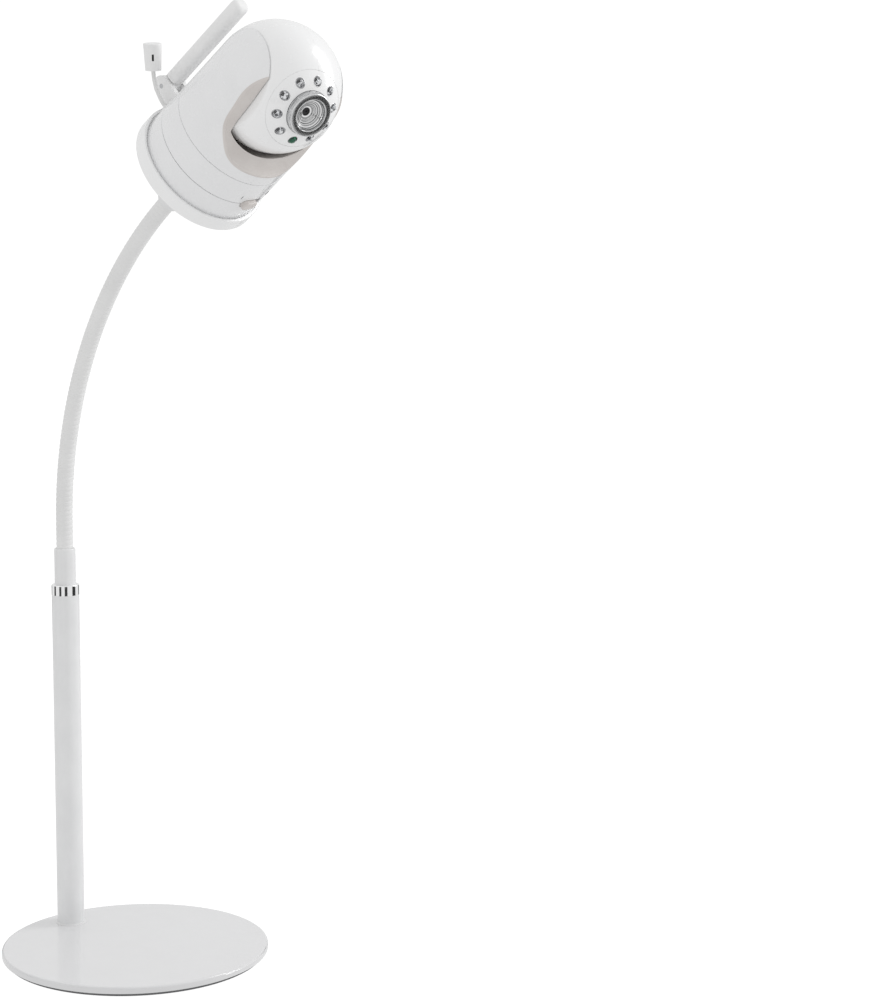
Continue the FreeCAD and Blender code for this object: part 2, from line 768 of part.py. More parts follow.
def face_disc():
    skin = ball(HEAD_R - 0.05, ORIGIN).cut(ball(HEAD_R - 2.3, ORIGIN)).common(cyl(FACE_R, 25, 45))
    seat = cyl(LENS_RING[0] + 0.4, LENS_RING[2] - 0.5, 45)
    skin = facing(without(skin, cyl(BARREL_R + 0.05, 20, 45), seat))
    holes = group([at_led(cyl(LED_HOLE_R, 25, 45), angle) for angle in led_places()])
    return skin.cut(holes)


def led_solid():
    lamp = joined([cyl(LED_R, 26.0, 33.0), ball(LED_R, V(0, 0, 33.0))])
    return lamp.common(cyl(LED_R + 1, 26.0, 40.0))


def infrared_leds():
    return group([at_led(led_solid(), angle) for angle in led_places()[1:]])


def status_led():
    return at_led(led_solid(), 0.0)


def led_board():
    return facing(tube(22.6, BARREL_R + 0.3, 24.4, 26.0))


def lens_barrel():
    barrel = joined([cyl(BARREL_R, 12.0, 38.6), cyl(13.5, 12.0, 14.0)])
    return facing(without(barrel, cyl(8.8, 20, 45), cyl(3.4, 10, 45)))


CONE_STEPS = [(8.6, 38.0), (7.5, 37.2), (6.4, 36.4), (5.3, 35.6), (4.2, 34.8)]
LENS_R = 3.35
LENS_Z = (28.0, 33.8)
LENS_RIM_R = 2.85        # front of the glass, through the funnel's floor


def lens_cone():
    """Stepped funnel in front of the lens."""
    cone = cyl(8.75, 26.4, 39.2)
    top = 50.0
    for r, depth in CONE_STEPS:
        cone = cone.cut(cyl(r, depth, top))
    return facing(without(cone, cyl(LENS_R, 20, LENS_Z[1]), cyl(LENS_RIM_R + 0.05, 20, top)))


def lens_glass():
    back, front = LENS_Z
    rim = cyl(LENS_RIM_R, front, front + 0.5)
    crown = ball(5.0, V(0, 0, front - 3.6)).common(cyl(LENS_RIM_R, front + 0.4, front + 3))
    return facing(joined([cyl(LENS_R, back, front), rim, crown]))


def lens_ring():
    outer, opening, back, front = LENS_RING
    ring = tube(outer, BARREL_R + 0.06, back, front - 1.9)
    ring = joined([ring, tube(outer, opening, front - 2.1, front)])
    ring = rounded(ring, 0.7, ring_edge(outer, front))
    return facing(rounded(ring, 0.5, ring_edge(outer, back)))


def sensor_board():
    board = box(-12, 12, -12, 12, 9.6, 11.2).fuse(box(-4, 4, -4, 4, 11.2, 12.0))
    return facing(board)


def axle_pins():
    left = rod(AXLE_R, -35.4, -18.0, 0, TILT_Z)
    right = rod(AXLE_R, 18.0, 33.0, 0, TILT_Z)
    return group([left, right])


# ---- tilt drive, in the -X arm ---------------------------------------------------------------
def along_x(shape, x, y, z):
    """A shape drawn about +Z from z = 0, laid along +X from that place."""
    laid = shape.copy()
    laid.rotate(ORIGIN, V(0, 1, 0), 90)
    laid.translate(V(x, y, z))
    return laid


def tilt_gear():
    wheel = gear(TILT_GEAR[0], TILT_GEAR[1], 0, 1.9, AXLE_R)
    wheel.rotate(ORIGIN, UP, TILT)
    return along_x(wheel, -34.4, 0, TILT_Z)


def tilt_reach():
    return (TILT_GEAR[0] + TILT_PINION[0]) * TILT_GEAR[1] / 2.0 + MESH_PLAY


def tilt_pinion():
    wheel = joined([gear(TILT_PINION[0], TILT_PINION[1], 0, 1.9, 0), cyl(0.8, 0, 2.15)])
    wheel.rotate(ORIGIN, UP, 180.0 / TILT_PINION[0])
    return along_x(wheel, -34.4, 0, TILT_Z - tilt_reach())


def tilt_motor():
    return along_x(cyl(5.6, 0, 3.2), -32.1, 0, TILT_Z - tilt_reach())


# ---- the whole object ------------------------------------------------------------------------
def stand_nodes():
    nodes = {
        "base_cover": base_cover(), "base_weight": base_weight(), "foot_pad": foot_pad(),
        "pole_gasket": pole_gasket(), "pole": pole(), "pole_insert": pole_insert(),
        "pole_bolt": pole_bolt(), "chrome_collar": chrome_collar(), "lower_ferrule": lower_ferrule()}
    for k in range(JOINTS + 1):
        nodes["gooseneck_%d" % k] = neck_piece(k)
    return nodes


def base_nodes():
    local = {
        "upper_ferrule": upper_ferrule(), "tripod_stud": tripod_stud(), "lock_nut": lock_nut(),
        "tripod_boss": tripod_boss(), "rim_cup": rim_cup(), "lower_housing": lower_housing(),
        "upper_housing": upper_housing(), "housing_screws": housing_screws(),
        "main_board": main_board(), "pan_motor": pan_motor(), "pan_pinion": pan_pinion(),
        "speaker": speaker(), "power_jack": power_jack(), "switch_slider": slider(),
        "switch_block": switch_block(), "antenna_foot": antenna_foot(), "antenna_pin": antenna_pin(),
        "antenna": antenna()}
    nodes = {name: on_base(shape) for name, shape in local.items()}
    nodes["sensor_gland"] = sensor_gland()
    nodes["sensor_lead"] = sensor_lead()
    nodes["sensor_capsule"] = sensor_capsule()
    nodes["thermistor"] = thermistor()
    return nodes


def yoke_nodes():
    blank = yoke_blank()
    local = {
        "yoke_left": yoke_shell(blank, -1), "yoke_right": yoke_shell(blank, 1),
        "trim_collar": trim_collar(blank), "pan_gear": pan_gear(), "yoke_screws": yoke_screws(),
        "tilt_motor": tilt_motor(), "tilt_pinion": tilt_pinion()}
    return {name: on_yoke(shape) for name, shape in local.items()}


def head_nodes():
    local = {
        "head_left": head_shell(-1), "head_right": head_shell(1), "face_disc": face_disc(),
        "infrared_leds": infrared_leds(), "status_led": status_led(), "led_board": led_board(),
        "lens_barrel": lens_barrel(), "lens_cone": lens_cone(), "lens_glass": lens_glass(),
        "lens_ring": lens_ring(), "sensor_board": sensor_board(), "axle_pins": axle_pins(),
        "tilt_gear": tilt_gear()}
    return {name: on_head(shape) for name, shape in local.items()}


def main():
    os.makedirs("parts", exist_ok=True)
    nodes = {}
    for make in (stand_nodes, base_nodes, yoke_nodes, head_nodes):
        nodes.update(make())
    for name, shape in nodes.items():
        if not shape.isValid():
            print("not valid:", name)
        print("%-16s solids %d volume %.0f" % (name, len(shape.Solids), shape.Volume))
        shape.exportStep(os.path.join("parts", name + ".step"))


main()
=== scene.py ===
import math

import bmesh
import bpy
from mathutils import Matrix, Vector


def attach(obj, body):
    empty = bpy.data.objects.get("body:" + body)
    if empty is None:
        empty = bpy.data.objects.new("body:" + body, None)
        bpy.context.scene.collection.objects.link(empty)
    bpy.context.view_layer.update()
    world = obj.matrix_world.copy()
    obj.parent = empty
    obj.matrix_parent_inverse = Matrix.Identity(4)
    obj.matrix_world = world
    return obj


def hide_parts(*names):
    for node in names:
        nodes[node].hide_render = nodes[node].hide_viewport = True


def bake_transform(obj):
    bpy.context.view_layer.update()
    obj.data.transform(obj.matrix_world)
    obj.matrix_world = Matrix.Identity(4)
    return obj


# Visual model of a nursery camera on a gooseneck stand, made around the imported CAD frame:
# materials, a ribbed gooseneck, the lens, the lamps, the sensor's lead, marks, floor and light.

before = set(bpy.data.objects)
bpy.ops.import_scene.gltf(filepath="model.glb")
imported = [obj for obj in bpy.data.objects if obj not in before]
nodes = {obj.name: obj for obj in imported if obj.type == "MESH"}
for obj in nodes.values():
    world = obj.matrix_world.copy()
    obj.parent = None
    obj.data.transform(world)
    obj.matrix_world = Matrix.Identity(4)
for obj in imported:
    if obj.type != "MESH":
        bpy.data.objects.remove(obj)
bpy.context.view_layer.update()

MM = 0.001

# ---- the model's own dimensions, in millimetres ---------------------------------------------
POLE_Y = 66.3
FERRULE_TOP = 261.2
NECK_STRAIGHT = 16.5     # upright stretch above the lower ferrule
NECK_BEND_R = 261.0
LEAN = 55.1              # camera axis from the vertical, degrees
JOINTS = 8
CAMERA_STANDOFF = 23.2   # underside of the camera beyond the end of the bend
UPPER_FERRULE_FOOT = -30.0
SPIN, PAN, TILT = 8.9, -20.8, 28.4
TILT_Z = 86.9
BODY_R = 39.45
MID_SEAM = 24.5
HEAD_R = 38.85
LED_RING_R = 18.6
LED_COUNT = 10           # places around the lens, the lowest one is the green light
LED_R = 2.45
LEAD_D = 2.5
LEAD_ROUTE = [           # camera frame, from inside the housing to the sensor
    (-9.1, 28.1, 17.0), (-12.0, 37.0, 17.0), (-14.1, 46.1, 19.3), (-15.2, 54.6, 23.7),
    (-15.3, 58.2, 26.9)]


# ---- frames ---------------------------------------------------------------------------------
def turn(degrees, axis):
    return Matrix.Rotation(math.radians(degrees), 4, axis)


def shift(x, y, z):
    return Matrix.Translation((x * MM, y * MM, z * MM))


def circle_angles(count):
    """That many even angles round a circle."""
    return [2 * math.pi * i / count for i in range(count)]


def neck_line(s):
    """Point (mm) and unit tangent of the gooseneck's centre line, s mm above the lower ferrule."""
    angle = max(0.0, s - NECK_STRAIGHT) / NECK_BEND_R
    y = POLE_Y - NECK_BEND_R * (1 - math.cos(angle))
    z = FERRULE_TOP + min(s, NECK_STRAIGHT) + NECK_BEND_R * math.sin(angle)
    return Vector((0, y, z)), Vector((0, -math.sin(angle), math.cos(angle)))


NECK_LENGTH = NECK_STRAIGHT + NECK_BEND_R * math.radians(LEAN)
END_POINT, END_ALONG = neck_line(NECK_LENGTH)
CAMERA_AT = END_POINT + END_ALONG * CAMERA_STANDOFF
FREE_NECK = NECK_LENGTH + CAMERA_STANDOFF + UPPER_FERRULE_FOOT
PITCH = FREE_NECK / JOINTS

ON_BASE = shift(*CAMERA_AT) @ turn(LEAN, "X") @ turn(SPIN, "Z")
ON_YOKE = ON_BASE @ turn(PAN, "Z")
ON_HEAD = ON_YOKE @ shift(0, 0, TILT_Z) @ turn(-TILT, "X") @ turn(90, "X")


# ---- camera ---------------------------------------------------------------------------------
CAMERA_PLACE = (-0.9591, -1.1295, 0.4935)
CAMERA_YAW = 48.0        # degrees clockwise from +Y, seen from above
CAMERA_DOWN = 7.51
CAMERA_ROLL = 0.25
FOCAL_SHARE = 2.3273     # focal length over the picture's long side
SENSOR = 36.0
CAMERA_REACH = (0.05, 50.0)


def make_camera():
    data = bpy.data.cameras.new("camera")
    data.sensor_fit = "AUTO"
    data.sensor_width = SENSOR
    data.lens = FOCAL_SHARE * SENSOR
    data.clip_start, data.clip_end = CAMERA_REACH
    camera = bpy.data.objects.new("camera", data)
    bpy.context.scene.collection.objects.link(camera)
    heading = turn(-CAMERA_YAW, "Z") @ turn(90 - CAMERA_DOWN, "X") @ turn(CAMERA_ROLL, "Z")
    camera.matrix_world = Matrix.Translation(CAMERA_PLACE) @ heading
    bpy.context.scene.camera = camera


make_camera()


# ---- materials ------------------------------------------------------------------------------
NOISE_SPAN = (0.3, 0.7)  # the stretch of a noise's values that a material uses
NOISE_ROUGH = 0.55
CAST_SCALE = 55.0        # features a metre in a plastic's faint change of colour
RIPPLE_SCALE = 22.0      # in its slow ripples
WEAR_SCALE = 140.0       # in its change of gloss
TARNISH_SCALE = 120.0    # in a metal's change of colour
# features a metre in the painted reflection patches of the lamps' reflectors
REFLECTION_PATCH_SCALE = 620.0


class Shader:
    """A Principled material with helpers for its procedural inputs."""

    def __init__(self, name, **constants):
        self.material = bpy.data.materials.new(name)
        self.material.use_nodes = True
        self.tree = self.material.node_tree
        self.out = self.tree.nodes["Principled BSDF"]
        for socket, value in constants.items():
            self.out.inputs[socket.replace("_", " ")].default_value = value
        self.place = self.tree.nodes.new("ShaderNodeTexCoord").outputs["Object"]

    def link(self, a, b):
        self.tree.links.new(a, b)

    def noise(self, scale, detail=3.0, stretch=(1, 1, 1)):
        """Noise of that many features a metre."""
        node = self.tree.nodes.new("ShaderNodeTexNoise")
        node.inputs["Scale"].default_value = scale
        node.inputs["Detail"].default_value = detail
        node.inputs["Roughness"].default_value = NOISE_ROUGH
        if tuple(stretch) == (1, 1, 1):
            self.link(self.place, node.inputs["Vector"])
        else:
            mapping = self.tree.nodes.new("ShaderNodeMapping")
            mapping.inputs["Scale"].default_value = stretch
            self.link(self.place, mapping.inputs["Vector"])
            self.link(mapping.outputs["Vector"], node.inputs["Vector"])
        return node.outputs["Fac"]

    def maths(self, operation, *values):
        """Result of one math node on those values."""
        node = self.tree.nodes.new("ShaderNodeMath")
        node.operation = operation
        for value, socket in zip(values, node.inputs):
            self.link(value, socket)
        return node.outputs["Value"]

    def colours(self, value, low, high, span=NOISE_SPAN):
        """Base colour running from low to high with the value."""
        ramp = self.tree.nodes.new("ShaderNodeValToRGB")
        for stop, place, colour in zip(ramp.color_ramp.elements, span, (low, high)):
            stop.position = place
            stop.color = (*colour, 1)
        self.link(value, ramp.inputs["Fac"])
        self.link(ramp.outputs["Color"], self.out.inputs["Base Color"])

    def spread(self, value, low, high):
        """Roughness running from low to high with the value."""
        node = self.tree.nodes.new("ShaderNodeMapRange")
        node.inputs["From Min"].default_value, node.inputs["From Max"].default_value = NOISE_SPAN
        node.inputs["To Min"].default_value = low
        node.inputs["To Max"].default_value = high
        self.link(value, node.inputs["Value"])
        self.link(node.outputs["Result"], self.out.inputs["Roughness"])

    def bump(self, values, depth):
        """Relief of that depth in metres from the sum of the values."""
        total = values[0]
        for value in values[1:]:
            total = self.maths("ADD", total, value)
        node = self.tree.nodes.new("ShaderNodeBump")
        node.inputs["Strength"].default_value = 1.0
        node.inputs["Distance"].default_value = depth
        self.link(total, node.inputs["Height"])
        self.link(node.outputs["Normal"], self.out.inputs["Normal"])

    def rings(self, step):
        """Turning marks about that far apart: noise of the distance from the lens axis."""
        own = self.tree.nodes.new("ShaderNodeMapping")
        own.vector_type = "TEXTURE"
        own.inputs["Location"].default_value = ON_HEAD.to_translation()
        own.inputs["Rotation"].default_value = ON_HEAD.to_euler()
        self.link(self.place, own.inputs["Vector"])
        parts = self.tree.nodes.new("ShaderNodeSeparateXYZ")
        self.link(own.outputs["Vector"], parts.inputs["Vector"])
        x, y, z = parts.outputs
        radius = self.maths("SQRT", self.maths(
            "ADD", self.maths("MULTIPLY", x, x), self.maths("MULTIPLY", y, y)))
        node = self.tree.nodes.new("ShaderNodeTexNoise")
        node.noise_dimensions = "1D"
        node.inputs["Scale"].default_value = 1.0 / step
        node.inputs["Detail"].default_value = 2.0
        self.link(self.maths("ADD", radius, z), node.inputs["W"])
        return node.outputs["Fac"]


def plastic(name, low, high, rough, grain, depth, coat=0.0, coat_rough=0.05, sheen=0.0):
    """Moulded plastic: a faint cast in the colour, fine grain and slow ripples."""
    made = Shader(name, Coat_Weight=coat, Coat_Roughness=coat_rough, Sheen_Weight=sheen,
                  IOR=1.49)
    made.colours(made.noise(CAST_SCALE, 4.0), low, high)
    made.spread(made.noise(WEAR_SCALE), rough * 0.85, rough * 1.2)
    made.bump([made.noise(RIPPLE_SCALE), made.noise(grain, 4.0)], depth)
    return made.material


def metal(name, low, high, rough, scratch=(1, 1, 1), scale=900.0, depth=0.00001):
    """Bare or plated metal: faint marks, drawn out by the scratch factors."""
    made = Shader(name, Metallic=1.0)
    marks = made.noise(scale, 3.0, scratch)
    made.colours(made.noise(TARNISH_SCALE, 4.0), low, high)
    made.spread(marks, rough * 0.7, rough * 1.4)
    made.bump([marks], depth)
    return made.material


def turned_metal(name, low, high, rough, step, depth):
    """Metal cut on a lathe: marks run round the lens axis. Where low and high lie far apart, the
    rings are painted reflections as well as marks.
    """
    made = Shader(name, Metallic=1.0)
    marks = made.rings(step)
    made.colours(marks, low, high)
    made.spread(marks, rough * 0.6, rough * 1.5)
    made.bump([marks], depth)
    return made.material


def painted_reflection_foil(name, low, high):
    """Bright reflector inside a lamp, with dark and bright patches painted into its colour as
    reflections.
    """
    made = Shader(name, Metallic=1.0)
    # one noise gives the painted dark and bright reflection patches in the colour, and also the
    # gloss and the relief
    reflection_patches = made.noise(REFLECTION_PATCH_SCALE, 1.5)
    made.colours(reflection_patches, low, high, (0.40, 0.52))
    made.spread(reflection_patches, 0.05, 0.16)
    made.bump([reflection_patches], 0.00025)
    return made.material


def epoxy(name, low, high, clear):
    """Clear or tinted body of a lamp."""
    made = Shader(name, Transmission_Weight=clear, IOR=1.22, Coat_Weight=1.0,
                  Coat_Roughness=0.02)
    made.colours(made.noise(400.0), low, high)
    made.spread(made.noise(900.0), 0.015, 0.05)
    made.bump([made.noise(500.0)], 0.000004)
    return made.material


WHITE_GLOSS = plastic("white_gloss", (0.855, 0.858, 0.866), (0.885, 0.887, 0.893), 0.26, 1400.0,
                      0.000002, coat=0.45, coat_rough=0.06)
# a lighter copy of the same white plastic: painted light on the head, face and rim cup
WHITE_PAINTED_LIGHTER = plastic("white_head_painted_lighter", (0.925, 0.927, 0.93), (0.945, 0.946, 0.948), 0.24, 1400.0,
                     0.000002, coat=0.5, coat_rough=0.05)
# a darker copy of the same white: painted shade on the base's upturned cover
WHITE_PAINTED_DARKER = plastic("white_plate", (0.742, 0.742, 0.75), (0.756, 0.757, 0.765), 0.2, 1200.0,
                      0.000003, coat=0.7, coat_rough=0.05)
WHITE_SATIN = plastic("white_satin", (0.85, 0.85, 0.85), (0.89, 0.89, 0.89), 0.5, 3800.0,
                      0.00004)
WHITE_NYLON = plastic("white_nylon", (0.76, 0.76, 0.72), (0.82, 0.82, 0.78), 0.5, 2500.0,
                      0.00004)
WHITE_CABLE = plastic("white_cable", (0.76, 0.76, 0.755), (0.82, 0.82, 0.815), 0.48, 2200.0,
                      0.00003, sheen=0.15)
BEIGE_SATIN = plastic("beige_satin", (0.655, 0.615, 0.59), (0.71, 0.675, 0.65), 0.42, 3200.0,
                      0.00004, coat=0.12, coat_rough=0.3)
BLACK_PLASTIC = plastic("black_plastic", (0.015, 0.015, 0.017), (0.035, 0.035, 0.038), 0.45,
                        2800.0, 0.00004)
GREEN_BOARD = plastic("green_board", (0.012, 0.10, 0.045), (0.02, 0.16, 0.07), 0.35, 900.0,
                      0.00003, coat=0.4)
GREY_RUBBER = plastic("grey_rubber", (0.36, 0.36, 0.375), (0.42, 0.42, 0.435), 0.75, 1600.0,
                      0.00009)
MARK_GREY = plastic("mark_grey", (0.16, 0.16, 0.165), (0.22, 0.22, 0.225), 0.5, 3000.0, 0.00002)
WHITE_POLE = plastic("white_pole", (0.79, 0.795, 0.80), (0.835, 0.838, 0.842), 0.34, 1500.0,
                     0.00004, coat=0.25, coat_rough=0.18)
WHITE_NECK = plastic("white_gooseneck", (0.79, 0.79, 0.788), (0.84, 0.84, 0.838), 0.46, 1900.0,
                     0.00005)
WHITE_FERRULE = plastic("white_ferrule", (0.79, 0.79, 0.795), (0.835, 0.838, 0.84), 0.38, 1700.0,
                        0.00003, coat=0.15, coat_rough=0.2)
STEEL_WEIGHT = plastic("steel_weight", (0.10, 0.10, 0.105), (0.15, 0.15, 0.155), 0.6, 700.0,
                       0.00012)
ZINC = metal("zinc_steel", (0.46, 0.47, 0.49), (0.58, 0.59, 0.60), 0.32, (1, 1, 6))
CHROME = metal("chrome", (0.95, 0.955, 0.96), (0.98, 0.98, 0.985), 0.06, (1, 1, 5), 600.0,
               0.000003)
BRASS = metal("brass", (0.46, 0.30, 0.10), (0.60, 0.42, 0.17), 0.28, (1, 1, 8))
NICKEL = metal("nickel", (0.62, 0.62, 0.60), (0.72, 0.72, 0.70), 0.26, (1, 1, 8))
SILVER_RING = turned_metal("silver_ring", (0.58, 0.585, 0.59), (0.84, 0.845, 0.85), 0.17, 0.00012,
                           0.000006)
# funnel metal: rings from near black to near white, painted reflections on top of the turning
# marks
SILVER_BAFFLE_PAINTED_RINGS = turned_metal("silver_baffle", (0.20, 0.205, 0.21), (0.98, 0.98, 0.98), 0.08,
                             0.0009, 0.00001)
LED_RIM = metal("led_rim", (0.30, 0.30, 0.31), (0.62, 0.62, 0.63), 0.16, (1, 1, 1), 800.0,
                0.000004)
# lamp reflectors: bright metal, with dark and bright reflections painted into the colour
LED_SILVER_PAINTED_REFLECTIONS = painted_reflection_foil("led_silver_painted_reflections", (0.10, 0.10, 0.11), (0.97, 0.97, 0.975))
GREEN_FOIL_PAINTED_REFLECTIONS = painted_reflection_foil("green_foil_painted_reflections", (0.0, 0.05, 0.03), (0.25, 0.75, 0.5))
CLEAR_LED = epoxy("clear_led", (0.93, 0.95, 0.96), (0.98, 0.99, 1.0), 0.97)
GREEN_LED = epoxy("green_led", (0.0, 0.16, 0.08), (0.03, 0.42, 0.24), 0.7)
LENS_GLASS = plastic("lens_glass", (0.003, 0.003, 0.005), (0.007, 0.006, 0.010), 0.18, 500.0,
                     0.000002)

CAD_FINISH = {
    WHITE_PAINTED_DARKER: ["base_cover"],
    STEEL_WEIGHT: ["base_weight"],
    GREY_RUBBER: ["foot_pad"],
    WHITE_POLE: ["pole"],
    WHITE_FERRULE: ["lower_ferrule", "upper_ferrule"],
    CHROME: ["chrome_collar"],
    ZINC: ["pole_insert", "pole_bolt", "housing_screws", "pan_motor", "antenna_pin",
           "yoke_screws", "tilt_motor", "axle_pins"],
    BRASS: ["tripod_stud"],
    NICKEL: ["lock_nut", "tripod_boss"],
    WHITE_GLOSS: ["lower_housing", "upper_housing", "yoke_left", "yoke_right"],
    WHITE_PAINTED_LIGHTER: ["rim_cup", "head_left", "head_right", "face_disc"],
    WHITE_SATIN: ["pole_gasket", "antenna_foot", "antenna", "sensor_gland", "sensor_capsule"],
    WHITE_NYLON: ["pan_gear", "pan_pinion", "tilt_gear", "tilt_pinion"],
    BEIGE_SATIN: ["switch_slider", "trim_collar"],
    BLACK_PLASTIC: ["speaker", "power_jack", "switch_block", "thermistor", "lens_barrel"],
    GREEN_BOARD: ["main_board", "led_board", "sensor_board"],
    LENS_GLASS: ["lens_glass"],
}


def finish_cad():
    for material, names in CAD_FINISH.items():
        for name in names:
            data = nodes[name].data
            data.materials.clear()
            data.materials.append(material)


finish_cad()


# ---- mesh helpers ---------------------------------------------------------------------------
SHARP = 38.0             # degrees between faces that shade as an edge


def add_mesh(name, bm, material, body, place=None, sharp=SHARP):
    """A mesh object from bmesh in millimetres, set in its frame and riding on a body."""
    bmesh.ops.recalc_face_normals(bm, faces=bm.faces)
    bmesh.ops.scale(bm, vec=(MM, MM, MM), verts=bm.verts)
    if place is not None:
        bmesh.ops.transform(bm, matrix=place, verts=bm.verts)
    data = bpy.data.meshes.new(name)
    bm.to_mesh(data)
    bm.free()
    data.polygons.foreach_set("use_smooth", [True] * len(data.polygons))
    data.set_sharp_from_angle(angle=math.radians(sharp))
    data.materials.append(material)
    obj = bpy.data.objects.new(name, data)
    bpy.context.scene.collection.objects.link(obj)
    if body:
        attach(obj, body)
    return obj


def grid_faces(bm, rows, closed_ends=False):
    """Quads between rows of vertices; each row closes on itself, the ends join if asked."""
    count = len(rows[0])
    pairs = list(zip(rows, rows[1:]))
    if closed_ends:
        pairs.append((rows[-1], rows[0]))
    for low, high in pairs:
        for i in range(count):
            j = (i + 1) % count
            bm.faces.new((low[i], low[j], high[j], high[i]))


def lathe(bm, outline, steps, radius_at=None):
    """Closed outline of (r, z) turned about Z; radius_at may change r with the angle and z."""
    rows = []
    for r, z in outline:
        row = []
        for angle in circle_angles(steps):
            reach = radius_at(r, z, angle) if radius_at else r
            row.append(bm.verts.new((reach * math.cos(angle), reach * math.sin(angle), z)))
        rows.append(row)
    grid_faces(bm, rows, closed_ends=True)


# ---- gooseneck ------------------------------------------------------------------------------
NECK_VALLEY = 5.12
NECK_RIB = 0.36
RIBS_PER_JOINT = 10
RIB_SAMPLES = 10
NECK_STEPS = 44
NECK_SHARP = 75.0        # the ribs shade as round
RIB_PITCH = PITCH / RIBS_PER_JOINT
SOCKET_REACH = 7.0       # hidden stretch of the neck inside each ferrule


def rib_radius(s, angle):
    """The coil's round wire winds once round the neck for each rib."""
    phase = (s / RIB_PITCH - angle / (2 * math.pi)) % 1.0
    return NECK_VALLEY + NECK_RIB * math.sqrt(max(0.0, 1.0 - (2.0 * phase - 1.0) ** 2))


def neck_skin(name, start, end):
    """Ribbed tube along the neck from start to end, in mm above the lower ferrule."""
    bm = bmesh.new()
    count = max(2, round((end - start) / RIB_PITCH * RIB_SAMPLES))
    rows = []
    for k in range(count + 1):
        s = start + (end - start) * k / count
        if s > FREE_NECK:
            centre = CAMERA_AT + END_ALONG * (UPPER_FERRULE_FOOT + s - FREE_NECK)
            along = END_ALONG
        else:
            centre, along = neck_line(max(s, 0.0))
            centre = centre + along * min(s, 0.0)
        side = Vector((1, 0, 0))
        front = along.cross(side)
        row = []
        for angle in circle_angles(NECK_STEPS):
            r = rib_radius(s, angle)
            offset = side * (r * math.cos(angle)) + front * (r * math.sin(angle))
            row.append(bm.verts.new(centre + offset))
        rows.append(row)
    grid_faces(bm, rows)
    skin = add_mesh(name, bm, WHITE_NECK, None, sharp=NECK_SHARP)
    return skin


def make_neck():
    foot = neck_skin("neck_skin_foot", -SOCKET_REACH, 0.0)
    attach(foot, "stand")
    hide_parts("gooseneck_0")
    for k in range(1, JOINTS + 1):
        start, end = (k - 1) * PITCH, k * PITCH
        skin = neck_skin("neck_skin_%d" % k, start, end)
        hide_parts("gooseneck_%d" % k)
        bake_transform(skin)
    head = neck_skin("neck_skin_head", FREE_NECK, FREE_NECK + SOCKET_REACH)
    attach(head, "camera_base")


# ---- sensor lead ----------------------------------------------------------------------------
def make_lead():
    """Round cable along the CAD lead's own route."""
    data = bpy.data.curves.new("sensor_lead_cable", "CURVE")
    data.dimensions = "3D"
    data.bevel_depth = LEAD_D / 2 * MM
    data.bevel_resolution = 6
    data.use_fill_caps = True
    data.resolution_u = 16
    spline = data.splines.new("NURBS")
    spline.points.add(len(LEAD_ROUTE) - 1)
    for point, place in zip(spline.points, LEAD_ROUTE):
        point.co = (*(ON_BASE @ (Vector(place) * MM)), 1)
    spline.order_u = 3
    spline.use_endpoint_u = True
    data.materials.append(WHITE_CABLE)
    lead = bpy.data.objects.new("sensor_lead_cable", data)
    bpy.context.scene.collection.objects.link(lead)
    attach(lead, "camera_base")
    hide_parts("sensor_lead")


make_lead()
make_neck()


# ---- lens ring ------------------------------------------------------------------------------
KNURLS = 110
KNURL_SAMPLES = 6
KNURL_DEPTH = 0.26
KNURL_BAND = (36.75, 39.35)
KNURL_EDGE = 0.01
KNURL_FROM_R = 13.2      # only the outside of the ring is cut
KNURL_GROUPS = 10
PLAIN_SHARE = 0.12       # of each group, left smooth
RING_SHARP = 24.0


def knurl(r, z, angle):
    """Straight fine knurling in groups on the outside of the ring."""
    if r < KNURL_FROM_R or not KNURL_BAND[0] - KNURL_EDGE <= z <= KNURL_BAND[1] + KNURL_EDGE:
        return r
    share = (angle / (2 * math.pi) * KNURL_GROUPS) % 1.0
    if share < PLAIN_SHARE:
        return r
    wave = (angle / (2 * math.pi) * KNURLS) % 1.0
    return r - KNURL_DEPTH * (1.0 - abs(2.0 * wave - 1.0))


def make_lens_ring():
    """Ring with a rounded front edge, a knurled outside and a stepped bore."""
    outline = [
        (10.7, 35.65), (12.75, 35.65), (13.0, 35.72), (13.05, 35.9), (13.05, 36.25), (13.18, 36.4),
        (13.3, 36.55), (13.3, 36.74), (13.3, 36.76), (13.3, 38.0), (13.3, 39.34), (13.3, 39.36),
        (13.3, 40.0), (13.28, 40.25), (13.2, 40.45), (13.1, 40.6), (12.98, 40.71), (12.84, 40.77),
        (12.7, 40.8), (10.2, 40.8), (9.9, 40.78), (9.75, 40.72), (9.65, 40.6), (9.6, 40.4),
        (9.6, 39.0), (9.75, 38.72), (10.7, 38.7)]
    bm = bmesh.new()
    lathe(bm, outline, KNURLS * KNURL_SAMPLES, knurl)
    ring = add_mesh("lens_ring_knurled", bm, SILVER_RING, "lens_ring", ON_HEAD,
                    sharp=RING_SHARP)
    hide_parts("lens_ring")


CONE_STEPS = [(8.6, 38.7), (7.5, 37.9), (6.4, 37.15), (5.3, 36.45), (4.2, 35.8)]
STEP_PROFILE = [(0.14, 0.14), (0.02, 0.0), (-0.02, -0.28), (-0.12, -0.38), (-0.85, -0.62)]
CONE_SEAT = 33.9         # the lens sits behind the funnel's floor
CONE_TURNS = 128
CONE_SHARP = 30.0


